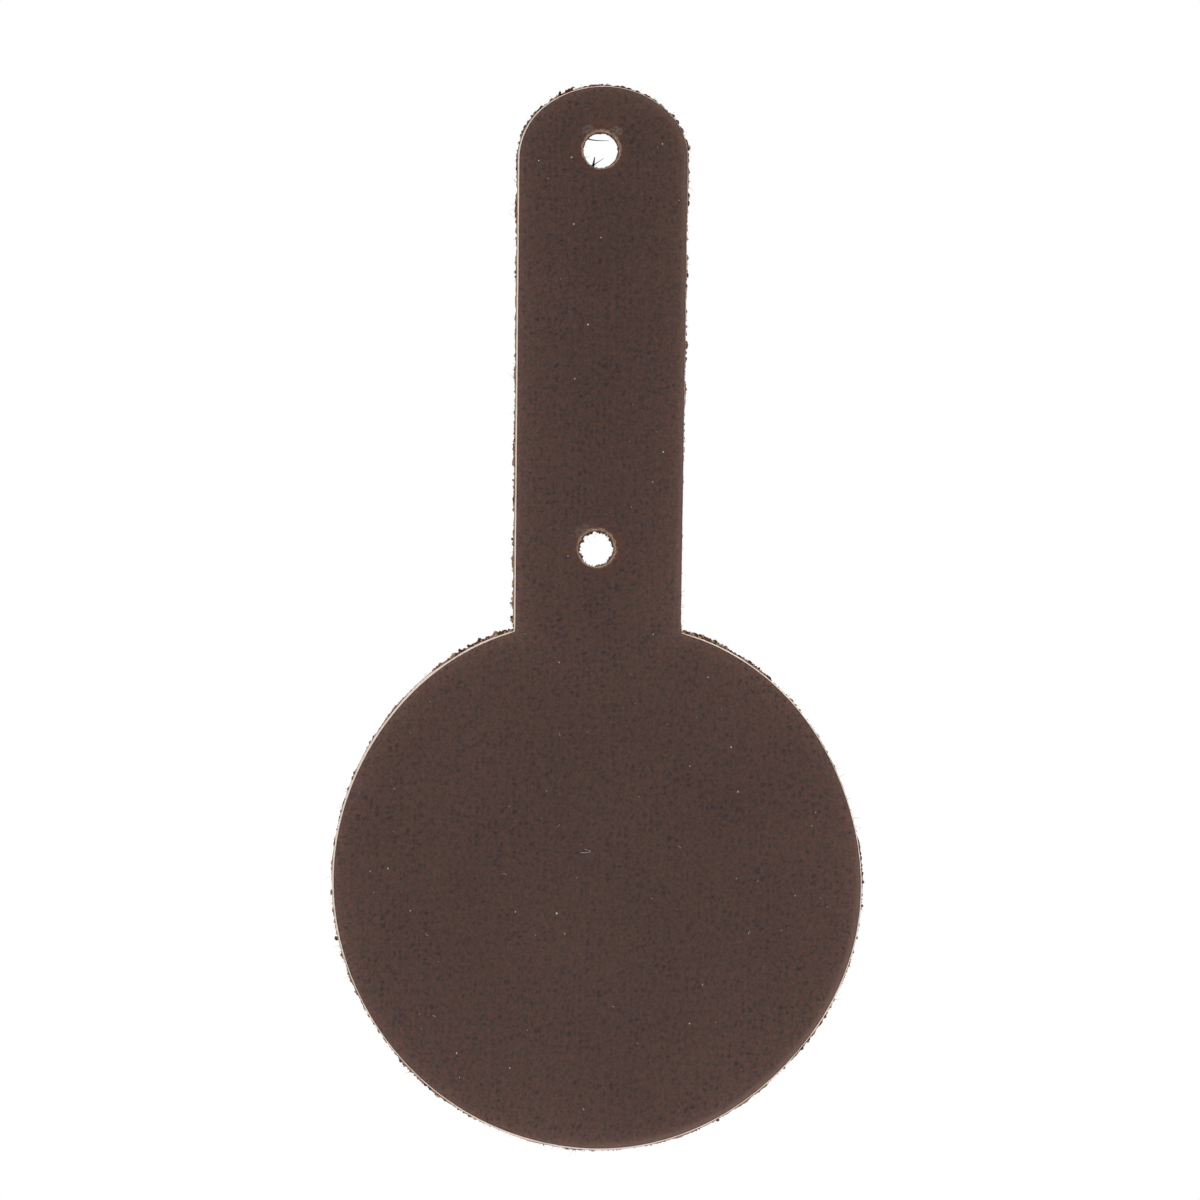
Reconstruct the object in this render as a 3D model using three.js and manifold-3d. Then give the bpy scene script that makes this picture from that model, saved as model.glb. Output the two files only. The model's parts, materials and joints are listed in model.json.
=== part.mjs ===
// A leather fly swatter: one flat piece of thick hide, die-cut to a round head on a straight strap, with
// a hole punched near each end of the strap. Millimetres, +Z up.
//
// The origin is the centre of the end hole, halfway through the leather. The swatter hangs from that
// hole, so +Z runs along the strap to its rounded end and the head is below. The smooth grain side
// faces -Y and the rough flesh side +Y.
//
// The hide is a single piece that bends at the neck when the swatter is swung. The strap and the head
// are modelled as two bodies that meet there, and their ends are bevelled so that the head can turn
// FLEX_LIMIT_DEG to either side about the neck's middle line before the two would touch.

import * as THREE from 'three';
import { mergeVertices, toCreasedNormals } from 'three/addons/utils/BufferGeometryUtils.js';
import Module from 'manifold-3d';

const wasm = await Module();
wasm.setup();

// Driving dimensions

const LEATHER_THICKNESS = 3.6;

const HEAD_DIAMETER = 101.6;

const STRAP_WIDTH = 32.4;
const STRAP_LENGTH = 105; // from the neck to the top of the rounded end

// The rounded end is an arch of three arcs: a broad crown between two tighter shoulders
const CROWN_EXTRA_RADIUS = 2.2; // the crown's radius, over half the strap's width
const SHOULDER_SPREAD = 3.1; // from the centre line to the centre of a shoulder's arc

const HOLE_DIAMETER = 7.1;
const END_MARGIN = 12.05; // from the top of the rounded end to the end hole's centre
const NECK_MARGIN = 16.15; // from the neck to the neck hole's centre

const FLEX_LIMIT_DEG = 45;
const FLEX_GAP = 0.3; // between the strap and the head, at the middle of the leather

const ARC_STEPS = 40; // each arc gets two flats for each of these
const CREASE_DEG = 30; // flats that meet at a smaller angle than this are shaded as one surface

// Places, up from the end hole's centre

const CROWN_TOP_Z = END_MARGIN;
const NECK_Z = CROWN_TOP_Z - STRAP_LENGTH;
const NECK_HOLE_Z = NECK_Z + NECK_MARGIN;

const SURFACE_COLOUR = 0x4f3e39;

/** The strap's rounded end, from its right side over the crown to its left side. */
function addRoundedEnd(outline) {
  const halfWidth = STRAP_WIDTH / 2;
  const crownRadius = halfWidth + CROWN_EXTRA_RADIUS;
  const shoulderRadius = halfWidth - SHOULDER_SPREAD;
  const crownZ = CROWN_TOP_Z - crownRadius;
  // The arcs are tangent where the line through their centres meets them
  const lean = Math.acos(SHOULDER_SPREAD / (crownRadius - shoulderRadius));
  const shoulderZ = crownZ + SHOULDER_SPREAD * Math.tan(lean);
  outline.lineTo(halfWidth, shoulderZ);
  outline.absarc(SHOULDER_SPREAD, shoulderZ, shoulderRadius, 0, lean);
  outline.absarc(0, crownZ, crownRadius, lean, Math.PI - lean);
  outline.absarc(-SHOULDER_SPREAD, shoulderZ, shoulderRadius, Math.PI - lean, Math.PI);
}

/** The round head, from the neck's left side down and round to its right side. */
function addHead(outline) {
  const headRadius = HEAD_DIAMETER / 2;
  const halfNeck = Math.asin(STRAP_WIDTH / 2 / headRadius);
  const headZ = NECK_Z - headRadius * Math.cos(halfNeck);
  const top = Math.PI / 2;
  outline.lineTo(-STRAP_WIDTH / 2, NECK_Z);
  outline.absarc(0, headZ, headRadius, top + halfNeck, top - halfNeck + 2 * Math.PI);
}

function hole(z) {
  const outline = new THREE.Path();
  outline.absarc(0, z, HOLE_DIAMETER / 2, 0, 2 * Math.PI);
  return outline;
}

/** The whole die-cut blank, lying in the XZ plane with half its thickness to each side. */
function blankGeometry() {
  const outline = new THREE.Shape();
  outline.moveTo(STRAP_WIDTH / 2, NECK_Z);
  addRoundedEnd(outline);
  addHead(outline);
  outline.holes.push(hole(0), hole(NECK_HOLE_Z));
  const geometry = new THREE.ExtrudeGeometry(outline, {
    depth: LEATHER_THICKNESS,
    bevelEnabled: false,
    curveSegments: ARC_STEPS,
  });
  geometry.translate(0, 0, -LEATHER_THICKNESS / 2);
  geometry.rotateX(Math.PI / 2);
  return geometry;
}

/**
 * All the space on one side of the neck, up = 1 for the strap's and -1 for the head's. It ends at the
 * neck in a ridge along X, whose two slopes let the head bend half the flex limit from each part.
 */
function neckSideGeometry(up) {
  const slope = Math.tan(THREE.MathUtils.degToRad(FLEX_LIMIT_DEG / 2));
  const depth = LEATHER_THICKNESS; // twice what the leather reaches from its middle
  const ridge = FLEX_GAP / 2;
  const far = STRAP_LENGTH + HEAD_DIAMETER;
  const width = STRAP_WIDTH + HEAD_DIAMETER;
  const section = new THREE.Shape([
    new THREE.Vector2(0, ridge),
    new THREE.Vector2(depth, ridge + depth * slope),
    new THREE.Vector2(depth, far),
    new THREE.Vector2(-depth, far),
    new THREE.Vector2(-depth, ridge + depth * slope),
  ]);
  const geometry = new THREE.ExtrudeGeometry(section, { depth: width, bevelEnabled: false });
  geometry.translate(0, 0, -width / 2);
  geometry.rotateZ(up > 0 ? 0 : Math.PI);
  geometry.rotateY(Math.PI / 2);
  geometry.rotateX(Math.PI / 2);
  geometry.translate(0, 0, NECK_Z);
  return geometry;
}

function solidFrom(geometry) {
  const bare = geometry.clone();
  bare.deleteAttribute('normal');
  bare.deleteAttribute('uv');
  const merged = mergeVertices(bare);
  const mesh = new wasm.Mesh({
    numProp: 3,
    vertProperties: new Float32Array(merged.attributes.position.array),
    triVerts: new Uint32Array(merged.index.array),
  });
  return new wasm.Manifold(mesh);
}

function geometryFrom(solid) {
  const mesh = solid.getMesh();
  const geometry = new THREE.BufferGeometry();
  geometry.setAttribute('position', new THREE.BufferAttribute(mesh.vertProperties, 3));
  geometry.setIndex(new THREE.BufferAttribute(mesh.triVerts, 1));
  return toCreasedNormals(geometry, THREE.MathUtils.degToRad(CREASE_DEG));
}

function leatherMesh(name, solid) {
  const material = new THREE.MeshStandardMaterial({
    color: SURFACE_COLOUR,
    roughness: 0.6,
    metalness: 0,
  });
  const mesh = new THREE.Mesh(geometryFrom(solid), material);
  mesh.name = name;
  return mesh;
}

const blank = solidFrom(blankGeometry());

const swatter = new THREE.Group();
swatter.add(leatherMesh('strap', blank.intersect(solidFrom(neckSideGeometry(1)))));
swatter.add(leatherMesh('head', blank.intersect(solidFrom(neckSideGeometry(-1)))));

export default swatter;
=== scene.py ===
"""A leather fly swatter: one flat piece of thick, oily brown hide, die-cut to a round head on a strap.

It hangs from the hole in its rounded end, grain side to the front (-Y) and flesh side to the back (+Y).
The hide is one closed mesh, with a pale core in its cut edge and a rolled, pressed rim. Around it are
the crumbs and hairs that the die tore from the flesh side, the nap of its back, and a little dust.
"""

import json
import math

import bmesh
import bpy
import numpy as np
from mathutils import Matrix, Vector, kdtree, noise


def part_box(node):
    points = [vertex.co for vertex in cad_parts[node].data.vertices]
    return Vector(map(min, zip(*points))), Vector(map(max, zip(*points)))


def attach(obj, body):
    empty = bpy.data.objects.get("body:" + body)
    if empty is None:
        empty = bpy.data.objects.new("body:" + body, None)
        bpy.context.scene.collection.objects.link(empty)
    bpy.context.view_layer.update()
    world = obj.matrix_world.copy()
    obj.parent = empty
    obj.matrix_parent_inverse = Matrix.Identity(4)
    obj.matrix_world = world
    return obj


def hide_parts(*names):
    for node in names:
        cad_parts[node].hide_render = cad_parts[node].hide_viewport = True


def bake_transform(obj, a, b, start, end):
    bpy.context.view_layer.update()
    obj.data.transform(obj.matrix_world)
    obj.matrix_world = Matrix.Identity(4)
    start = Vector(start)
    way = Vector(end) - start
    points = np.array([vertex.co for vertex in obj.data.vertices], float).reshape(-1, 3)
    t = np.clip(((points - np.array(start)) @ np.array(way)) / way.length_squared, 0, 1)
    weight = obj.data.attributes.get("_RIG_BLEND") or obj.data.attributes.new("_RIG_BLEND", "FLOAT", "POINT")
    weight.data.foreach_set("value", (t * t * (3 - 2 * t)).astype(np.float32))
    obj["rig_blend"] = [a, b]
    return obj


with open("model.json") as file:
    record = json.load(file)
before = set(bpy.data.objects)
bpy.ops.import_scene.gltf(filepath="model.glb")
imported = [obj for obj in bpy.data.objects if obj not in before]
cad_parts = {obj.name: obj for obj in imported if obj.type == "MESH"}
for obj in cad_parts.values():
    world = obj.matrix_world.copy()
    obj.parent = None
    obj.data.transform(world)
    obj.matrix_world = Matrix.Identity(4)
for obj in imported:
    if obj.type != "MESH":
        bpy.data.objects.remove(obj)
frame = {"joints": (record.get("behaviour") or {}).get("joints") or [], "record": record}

for stray in ("Cube", "Light", "Camera"):  # what a new Blender file starts with
    if stray in bpy.data.objects:
        bpy.data.objects.remove(bpy.data.objects[stray])

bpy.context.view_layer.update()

MM = 0.001

# ---- Sizes taken from the frame

RECORD = frame["record"]
STRAP_LOW, STRAP_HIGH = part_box("strap")
HEAD_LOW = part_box("head")[0]

THICKNESS = STRAP_HIGH.y - STRAP_LOW.y
FRONT_Y = STRAP_LOW.y
HALF_WIDTH = STRAP_HIGH.x
CROWN_TOP_Z = STRAP_HIGH.z
NECK_Z = frame["joints"][0]["pos_m"][2]

HEAD_HEIGHT = NECK_Z - HEAD_LOW.z
HEAD_RADIUS = (HEAD_HEIGHT**2 + HALF_WIDTH**2) / (2 * HEAD_HEIGHT)
HEAD_Z = HEAD_LOW.z + HEAD_RADIUS

HANG_HOLE = next(m for m in RECORD["mounts"] if m["name"] == "hang_hole")
HOLE_RADIUS = HANG_HOLE["dims"]["r_mm"] * MM
HOLE_BOXES = {o["name"]: o["box_m"] for o in RECORD["physics"]["openings"]}


def hole_z(name):
    low, high = HOLE_BOXES[name]
    return (low[2] + high[2]) / 2


END_HOLE_Z = hole_z("end_hole")
NECK_HOLE_Z = hole_z("neck_hole")

# The rounded end: a broad crown between two tighter shoulders
CROWN_RADIUS = HALF_WIDTH + 2.2 * MM
SHOULDER_SPREAD = 3.1 * MM
SHOULDER_RADIUS = HALF_WIDTH - SHOULDER_SPREAD
CROWN_Z = CROWN_TOP_Z - CROWN_RADIUS
SHOULDER_LEAN = math.acos(SHOULDER_SPREAD / (CROWN_RADIUS - SHOULDER_RADIUS))
SHOULDER_Z = CROWN_Z + SHOULDER_SPREAD * math.tan(SHOULDER_LEAN)

# ---- Sizes of the finish

RIM_STEP = 0.3 * MM  # between the points along the outline's rim
HOLE_STEP = 0.15 * MM  # and along a hole's
FIELD_PITCH = 1.25 * MM  # of the square mesh inside the rims
FIELD_MARGIN = 1.9 * MM  # between a rim and the square mesh
WALL_ROWS = 14  # rows of faces through the thickness
RIM_INSETS = [0.08 * MM, 0.18 * MM, 0.32 * MM, 0.5 * MM, 0.78 * MM, 1.15 * MM]

EDGE_ROLL = 0.3 * MM  # how far the grain rim is pressed back, and over what width
EDGE_ROLL_WIDTH = 0.3 * MM
HOLE_ROLL = 0.42 * MM
HOLE_ROLL_WIDTH = 0.55 * MM
BACK_ROLL = 0.12 * MM
WALL_ROUGHNESS = 0.035 * MM
NAP_ROUGHNESS = 0.05 * MM
HOLE_RIM_RADIUS = HOLE_RADIUS + 0.22 * MM  # at the grain side

# At the flesh side the punch left each hole narrower, and a little to one side (x, z)
HOLE_FLESH_RADII = [HOLE_RADIUS - 0.27 * MM, HOLE_RADIUS - 0.36 * MM]
HOLE_FLESH_SHIFTS = [(-0.16 * MM, -0.12 * MM), (-0.21 * MM, -0.15 * MM)]
HOLE_DRIFTS = [(-0.3 * MM, 0), (-0.5 * MM, 0)]  # how far the die set each hole off the centre line
HOLE_DRIFT_REACH = 4 * MM
HOLE_TEETH = 0.3 * MM
HOLE_TORN = [0.5, 1.7]  # how ragged each hole's flesh rim is beside the outline's

# The head strays from a true circle in waves: how many round it, how high, and a crest's angle in degrees
HEAD_WAVES = [
    (1, 0.19 * MM, -54),
    (2, 0.1 * MM, 178),
    (3, 0.2 * MM, 84),
    (5, 0.16 * MM, -85),
    (6, 0.1 * MM, -48),
]
STRAP_LEFT_STRAY = -0.15 * MM  # how far the strap's sides stray from true, out of the leather
STRAP_RIGHT_STRAY = 0.17 * MM
STRAP_RIGHT_TAPER = 0.0062  # the right side draws in below the end hole
WAVE_REACH = 6 * MM  # how far into the leather a wave of the outline carries

FLESH_FLARE = 0.32 * MM  # how far the cut edge leans out at the flesh side of the head
# How much more or less it leans at places round the head, given by their angle in degrees
FLARE_PATCHES = [(35, -0.26 * MM), (140, 0.17 * MM), (205, -0.13 * MM), (320, -0.26 * MM)]
FLARE_PATCH_REACH = 28
STRAP_FLARE = 0.25 * MM
STRAP_FLARE_TURN = 0.21 * MM  # more on the strap's left side, less on its right
CROWN_FLARE_LESS = 0.14 * MM
FRINGE = 0.1 * MM  # how far the torn fringe of the flesh side stands past the flare
CLUMP = 0.35 * MM  # and how far the largest clumps of it
CLEAN_CUT_Z = (NECK_Z + 40 * MM, NECK_Z + 48 * MM)  # below here the strap's right side was cut clean
CORNER_REACH = 20 * MM  # how far from the strap's corners the crumbs are larger

BEND_REACH = 9 * MM  # how far to each side of the neck the leather bends

CAMERA_DISTANCE = 1.6
CAMERA_X = 0.2 * MM
CAMERA_Z = -86.8 * MM
CAMERA_LEAN = math.radians(0.5)  # anticlockwise, so the swatter leans clockwise
VIEW_WIDTH = 231.35 * MM  # at the leather

FLOOR_DROP = 60 * MM  # below the head
FLOOR_RADIUS = 0.45
FLOOR_FADE_MM = (250, 430)

rng = np.random.default_rng(20)


def smoothstep(low, high, x):
    t = np.clip((x - low) / (high - low), 0, 1)
    return t * t * (3 - 2 * t)


def ripple(along, length, pitch, seed):
    """Smooth random waves from -1 to 1 along a closed line, about one every two pitches."""
    count = max(4, round(length / pitch))
    knots = np.random.default_rng(seed).uniform(-1, 1, count)
    at = np.asarray(along) / length * count
    low = np.floor(at).astype(int)
    t = smoothstep(0, 1, at - low)
    return knots[low % count] * (1 - t) + knots[(low + 1) % count] * t


def lumps(x, y, z, scale, shift=0):
    """Smooth noise from about -1 to 1, with features about 1/scale metres across."""
    return noise.noise(Vector((x, y, z)) * scale + Vector((shift, 0, 0)))


def from_hole(x, z):
    """How far a place is from the nearer hole's centre."""
    return min(math.hypot(x, z - h) for h in (END_HOLE_Z, NECK_HOLE_Z))


def from_corner(x, z):
    """How far places are from the nearer corner between the strap and the head."""
    return np.hypot(np.abs(x) - HALF_WIDTH, z - NECK_Z)


# ---- The blank


class Pen:
    """Traces a line of edges in the XZ plane, one straight or round stretch after another."""

    def __init__(self, bm, x, z):
        self.bm = bm
        self.start = self.tip = bm.verts.new((x, 0, z))

    def run(self, length, centre, angle, shift):
        steps = round(length / RIM_STEP)
        made = bmesh.ops.spin(self.bm, geom=[self.tip], cent=centre, axis=(0, -1, 0),
                              angle=angle, dvec=shift / steps, steps=steps)
        self.tip = next(g for g in made["geom_last"] if isinstance(g, bmesh.types.BMVert))

    def straight(self, x, z):
        shift = Vector((x, 0, z)) - self.tip.co
        self.run(shift.length, self.tip.co.copy(), 0, shift)

    def arc(self, x, z, angle):
        """A round stretch about (x, z), anticlockwise as the grain side is seen."""
        centre = Vector((x, 0, z))
        self.run(angle * (self.tip.co - centre).length, centre, angle, Vector())

    def close(self):
        bmesh.ops.pointmerge(self.bm, verts=[self.tip, self.start], merge_co=self.start.co)


def trace_outline(bm):
    pen = Pen(bm, HALF_WIDTH, NECK_Z)
    pen.straight(HALF_WIDTH, SHOULDER_Z)
    pen.arc(SHOULDER_SPREAD, SHOULDER_Z, SHOULDER_LEAN)
    pen.arc(0, CROWN_Z, math.pi - 2 * SHOULDER_LEAN)
    pen.arc(-SHOULDER_SPREAD, SHOULDER_Z, SHOULDER_LEAN)
    pen.straight(-HALF_WIDTH, NECK_Z)
    half_neck = math.asin(HALF_WIDTH / HEAD_RADIUS)
    pen.arc(0, HEAD_Z, 2 * (math.pi - half_neck))
    pen.close()
    return [v for v in bm.verts if v.link_edges]


def trace_hole(bm, z):
    segments = round(2 * math.pi * HOLE_RIM_RADIUS / HOLE_STEP)
    place = Matrix.Translation((0, 0, z)) @ Matrix.Rotation(math.pi / 2, 4, "X")
    made = bmesh.ops.create_circle(bm, segments=segments, radius=HOLE_RIM_RADIUS, matrix=place)
    return made["verts"]


def walk(verts):
    """The loop's points in order."""
    wanted = set(verts)
    line = [verts[0]]
    seen = {verts[0]}
    while True:
        around = [e.other_vert(line[-1]) for e in line[-1].link_edges]
        onward = [v for v in around if v in wanted and v not in seen]
        if not onward:
            return line
        line.append(onward[0])
        seen.add(onward[0])


def mark_loop(verts, layers, out_of, loop_number):
    """Writes on each point how far along its loop it is and which way is out of the leather."""
    line = walk(verts)
    at = np.array([v.co for v in line])[:, [0, 2]]
    step = np.roll(at, -1, 0) - at
    turning = np.sum(at[:, 0] * np.roll(at[:, 1], -1) - np.roll(at[:, 0], -1) * at[:, 1])
    side = math.copysign(1, turning) * out_of
    ahead = np.roll(at, -1, 0) - np.roll(at, 1, 0)
    normal = np.stack([ahead[:, 1], -ahead[:, 0]], 1) * side
    normal /= np.linalg.norm(normal, axis=1)[:, None]
    # Averaged over about 2 mm, so that rows of faces turn a sharp corner without crossing
    window = range(-4, 5)
    normal = sum(np.roll(normal, k, 0) for k in window) / len(window)
    along = np.concatenate([[0], np.cumsum(np.linalg.norm(step, axis=1))[:-1]])
    for k, v in enumerate(line):
        v[layers["along"]] = along[k]
        v[layers["out_x"]], v[layers["out_z"]] = normal[k]
        v[layers["loop"]] = loop_number


def edges_within(edges, verts):
    wanted = set(verts)
    return [e for e in edges if e.verts[0] in wanted and e.verts[1] in wanted]


def add_rim_rows(bm, verts, layers):
    """Grows rows of faces from a loop into the leather, and returns the last row's edges."""
    edges = edges_within(bm.edges, verts)
    for inset in RIM_INSETS:
        made = bmesh.ops.extrude_edge_only(bm, edges=edges)["geom"]
        row = [g for g in made if isinstance(g, bmesh.types.BMVert)]
        for v in row:
            step = inset - v[layers["inset"]]
            v.co -= Vector((v[layers["out_x"]], 0, v[layers["out_z"]])) * step
            v[layers["inset"]] = inset
        edges = edges_within([g for g in made if isinstance(g, bmesh.types.BMEdge)], row)
    return edges


def in_outline(x, z):
    if math.hypot(x, z - HEAD_Z) < HEAD_RADIUS:
        return True
    if z < HEAD_Z or abs(x) > HALF_WIDTH:
        return False
    if z < SHOULDER_Z:
        return True
    if math.atan2(z - SHOULDER_Z, abs(x) - SHOULDER_SPREAD) < SHOULDER_LEAN:
        return math.hypot(abs(x) - SHOULDER_SPREAD, z - SHOULDER_Z) < SHOULDER_RADIUS
    return math.hypot(x, z - CROWN_Z) < CROWN_RADIUS


def nearest_finder(points):
    tree = kdtree.KDTree(len(points))
    for k, point in enumerate(points):
        tree.insert(point, k)
    tree.balance()
    return tree


def add_field(bm, rims):
    """A square mesh over the blank, kept where it is clear of every rim."""
    width = 2 * HEAD_RADIUS
    height = CROWN_TOP_Z - HEAD_LOW.z
    place = (
        Matrix.Translation((0, 0, (CROWN_TOP_Z + HEAD_LOW.z) / 2))
        @ Matrix.Rotation(math.pi / 2, 4, "X")
        @ Matrix.Diagonal((width, height, 1, 1))
    )
    made = bmesh.ops.create_grid(bm, x_segments=round(width / FIELD_PITCH),
                                 y_segments=round(height / FIELD_PITCH), size=0.5, matrix=place)
    tree = nearest_finder([v.co for v in rims])
    outside = [
        v for v in made["verts"]
        if not in_outline(v.co.x, v.co.z)
        or from_hole(v.co.x, v.co.z) < HOLE_RIM_RADIUS
        or tree.find(v.co)[2] < FIELD_MARGIN
    ]
    bmesh.ops.delete(bm, geom=outside, context="VERTS")


def build_blank():
    """The flat blank as a closed mesh, with its marks; the front is at FRONT_Y."""
    bm = bmesh.new()
    floats = bm.verts.layers.float
    layers = {name: floats.new(name) for name in ("along", "out_x", "out_z", "inset", "loop")}
    outline = trace_outline(bm)
    mark_loop(outline, layers, 1, 0)
    loops = [outline]
    for number, z in enumerate((END_HOLE_Z, NECK_HOLE_Z), 1):
        loops.append(trace_hole(bm, z))
        mark_loop(loops[-1], layers, -1, number)
    rims = [v for loop in loops for v in loop]

    before = set(bm.verts)
    add_field(bm, rims)
    field = [v for v in bm.verts if v not in before]
    pinched = True
    while pinched:
        pinched = [v for v in field if v.is_valid and sum(e.is_boundary for e in v.link_edges) > 2]
        bmesh.ops.delete(bm, geom=pinched, context="VERTS")
        field = [v for v in field if v.is_valid]
    for v in field:
        v[layers["loop"]] = -1
    border = [e for e in bm.edges if e.is_boundary]
    for loop in loops:
        border += add_rim_rows(bm, loop, layers)
    bmesh.ops.triangle_fill(bm, edges=border, use_beauty=True, normal=(0, -1, 0))

    front = list(bm.faces)
    made = bmesh.ops.extrude_face_region(bm, geom=front, use_keep_orig=True)["geom"]
    back = [g for g in made if isinstance(g, bmesh.types.BMVert)]
    bmesh.ops.translate(bm, verts=back, vec=(0, THICKNESS, 0))
    bmesh.ops.translate(bm, verts=bm.verts, vec=(0, FRONT_Y, 0))
    across = [e for e in bm.edges if abs(e.verts[0].co.y - e.verts[1].co.y) > THICKNESS / 2]
    bmesh.ops.subdivide_edges(bm, edges=across, cuts=WALL_ROWS - 1, use_grid_fill=True)
    bmesh.ops.recalc_face_normals(bm, faces=bm.faces)
    return bm


def finished_mesh(name, bm):
    mesh = bpy.data.meshes.new(name)
    bm.to_mesh(mesh)
    bm.free()
    return mesh


def points_of(mesh):
    co = np.empty(len(mesh.vertices) * 3, np.float32)
    mesh.vertices.foreach_get("co", co)
    return co.reshape(-1, 3).astype(float)


def move_points(mesh, co):
    mesh.vertices.foreach_set("co", np.ascontiguousarray(co, np.float32).ravel())
    mesh.update()


def marks_of(mesh, name):
    found = np.empty(len(mesh.vertices), np.float32)
    mesh.attributes[name].data.foreach_get("value", found)
    return found.astype(float)


def add_marks(mesh, name, values):
    layer = mesh.attributes.get(name) or mesh.attributes.new(name, "FLOAT", "POINT")
    layer.data.foreach_set("value", np.ascontiguousarray(values, np.float32))


def new_piece(name, mesh, *finishes):
    piece = bpy.data.objects.new(name, mesh)
    bpy.context.scene.collection.objects.link(piece)
    for finish in finishes:
        mesh.materials.append(finish)
    return piece


# ---- The shape that cutting and punching gave the hide


def outline_waves(x, z, out_x):
    """How far the die's outline strays from true, out of the leather."""
    angle = np.arctan2(z - HEAD_Z, x)
    head = sum(h * np.cos(n * angle - math.radians(crest)) for n, h, crest in HEAD_WAVES)
    right = STRAP_RIGHT_STRAY + STRAP_RIGHT_TAPER * z
    strap = STRAP_LEFT_STRAY + (right - STRAP_LEFT_STRAY) * (1 + out_x) / 2
    return head + (strap - head) * smoothstep(NECK_Z - 2 * MM, NECK_Z + 3 * MM, z)


def clean_cut(out_x, z):
    """Where the die cut clean, from 0 to 1: low on the strap's right side."""
    low, high = CLEAN_CUT_Z
    return smoothstep(0.75, 0.95, out_x) * smoothstep(high, low, z)


def torn_edge(along, length, pitch, seed, cover):
    """How far the torn flesh side stands out: teeth of about the pitch, and larger clumps in places."""
    teeth = 0.13 * MM * ripple(along, length, pitch, seed)
    teeth = teeth + 0.08 * MM * ripple(along, length, 2.5 * pitch, seed + 1)
    clump = np.maximum(0, ripple(along, length, 0.8 * MM, seed + 2)) ** 2
    where = smoothstep(-0.1, 0.8, ripple(along, length, 14 * MM, seed + 3))
    return (FRINGE + teeth) * (0.15 + 0.85 * cover) + CLUMP * clump * where


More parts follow.
